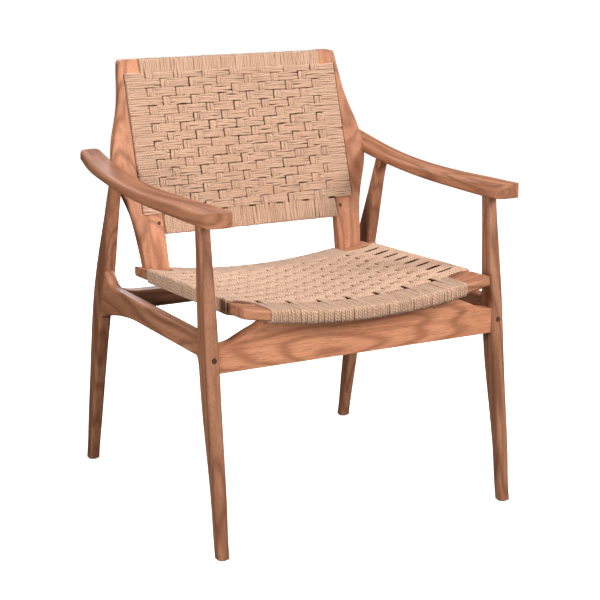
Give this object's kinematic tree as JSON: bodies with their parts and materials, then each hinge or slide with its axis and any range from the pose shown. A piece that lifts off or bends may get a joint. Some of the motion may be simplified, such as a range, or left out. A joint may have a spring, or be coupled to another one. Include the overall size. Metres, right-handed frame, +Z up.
{
  "type": "armchair",
  "caption": "Low wooden armchair with a dished woven-cord seat floating on sculpted aprons, a raked woven-cord back and long sweeping armrests.",
  "frame": {"origin": "floor level, under the centre of the chair's bounding box", "axes": "+X towards the right armrest as seen from the front, +Y from the front edge of the seat towards the back, +Z up"},
  "size_m": [0.637, 0.61, 0.7955],
  "materials": {
    "teak_upright": "oiled",
    "teak_lengthwise": "oiled",
    "teak_crosswise": "oiled",
    "dowel_beech": "matte",
    "plug_wood": "oiled",
    "cord_seat": "matte",
    "cord_back": "matte",
    "screw_steel": "brushed",
    "nail_brass": "satin",
    "glide_plastic": "matte"
  },
  "bodies": {
    "root": {"left_front_leg": "teak_upright", "right_front_leg": "teak_upright", "left_rear_leg": "teak_upright", "right_rear_leg": "teak_upright", "left_back_stile": "teak_upright", "right_back_stile": "teak_upright", "left_back_wing": "teak_upright", "right_back_wing": "teak_upright", "left_side_rail": "teak_lengthwise", "right_side_rail": "teak_lengthwise", "left_armrest": "teak_lengthwise", "right_armrest": "teak_lengthwise", "left_seat_side_rail": "teak_lengthwise", "right_seat_side_rail": "teak_lengthwise", "front_apron": "teak_crosswise", "rear_apron": "teak_crosswise", "seat_front_rail": "teak_crosswise", "seat_rear_rail": "teak_crosswise", "back_top_rail": "teak_crosswise", "back_lower_rail": "teak_crosswise", "arm_dowels": "dowel_beech", "side_rail_dowels": "dowel_beech", "apron_dowels": "dowel_beech", "seat_frame_dowels": "dowel_beech", "back_frame_dowels": "dowel_beech", "post_foot_dowels": "dowel_beech", "wing_dowels": "dowel_beech", "leg_plugs": "plug_wood", "stile_plugs": "plug_wood", "seat_cord_weave": "cord_seat", "back_cord_weave": "cord_back", "seat_screws": "screw_steel", "seat_cord_nails": "nail_brass", "foot_glides": "glide_plastic"}
  },
  "joints": []
}
